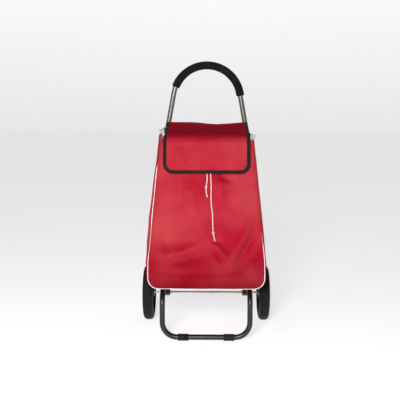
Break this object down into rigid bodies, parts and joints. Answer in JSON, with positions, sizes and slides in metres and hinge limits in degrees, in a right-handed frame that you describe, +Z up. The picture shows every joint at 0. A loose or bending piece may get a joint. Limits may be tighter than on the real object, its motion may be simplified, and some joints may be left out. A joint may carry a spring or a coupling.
{
  "type": "shopping trolley",
  "caption": "Upright two-wheeled shopping trolley: tapered fabric bag with a buckle-free flap and drawcords, on a tube frame with a foam grip and a bent foot.",
  "frame": {"origin": "on the floor, under the middle of the trolley's outline", "axes": "+Z up, the front of the bag faces -Y, the wheels turn about X"},
  "size_m": [0.457, 0.38, 0.9361],
  "materials": {
    "tube": "glossy dark grey lacquer",
    "steel": "plain zinc plated",
    "bracket_plastic": "moulded, satin",
    "rim_plastic": "moulded, satin",
    "tyre": "matt",
    "bush_nylon": "natural nylon",
    "sleeve_rubber": "matt",
    "foam": "soft foam with a fine knitted look",
    "bag_fabric": "satin coated polyester",
    "collar_lining": "thin light lining cloth",
    "piping": "light coated piping",
    "binding": "woven edge binding",
    "webbing": "woven webbing",
    "base_board": "stiff board",
    "drawcord": "braided cord"
  },
  "bodies": {
    "frame": {"axle": "steel", "bag_body": "bag_fabric", "bag_loop_patch": "binding", "base_board": "base_board", "drawstring_collar": "collar_lining", "foam_grip": "foam", "foot_frame": "tube", "front_piping": "piping", "front_slat": "bracket_plastic", "handle_tube": "tube", "left_axle_bracket": "bracket_plastic", "left_bracket_bolt": "steel", "left_cord_knot": "drawcord", "left_cord_outlet": "bracket_plastic", "left_drawcord": "drawcord", "left_foot_sleeve": "sleeve_rubber", "left_handle_screw": "steel", "left_hanging_strap": "webbing", "left_strap_stud": "steel", "left_upright": "tube", "left_washer": "steel", "lower_crossbar": "tube", "rear_hem_band": "binding", "rear_slat": "bracket_plastic", "right_axle_bracket": "bracket_plastic", "right_bracket_bolt": "steel", "right_cord_knot": "drawcord", "right_cord_outlet": "bracket_plastic", "right_drawcord": "drawcord", "right_foot_sleeve": "sleeve_rubber", "right_handle_screw": "steel", "right_hanging_strap": "webbing", "right_strap_stud": "steel", "right_upright": "tube", "right_washer": "steel", "upper_crossbar": "tube"},
    "left_wheel": {"left_tyre": "tyre", "left_rim": "rim_plastic", "left_bush": "bush_nylon", "left_hub_cap": "bracket_plastic"},
    "right_wheel": {"right_tyre": "tyre", "right_rim": "rim_plastic", "right_bush": "bush_nylon", "right_hub_cap": "bracket_plastic"},
    "flap": {"flap_top": "bag_fabric", "left_flap_top_binding": "binding", "right_flap_top_binding": "binding"},
    "flap_drop": {"flap_front": "bag_fabric", "flap_front_binding": "binding", "flap_hook_patch": "binding"}
  },
  "joints": [
    {"name": "left_wheel_spin", "type": "hinge", "parent": "frame", "child": "left_wheel", "pos_m": [-0.2095, 0.09025, 0.1], "axis": [1, 0, 0], "continuous": true},
    {"name": "right_wheel_spin", "type": "hinge", "parent": "frame", "child": "right_wheel", "pos_m": [0.2095, 0.09025, 0.1], "axis": [1, 0, 0], "continuous": true},
    {"name": "flap_lift", "type": "hinge", "parent": "frame", "child": "flap", "pos_m": [0, 0.04705, 0.722], "axis": [-1, 0, 0], "range_deg": [0, 98]},
    {"name": "flap_unfold", "type": "hinge", "parent": "flap", "child": "flap_drop", "pos_m": [0, -0.13796, 0.675], "axis": [-1, 0, 0], "range_deg": [0, 68]}
  ]
}
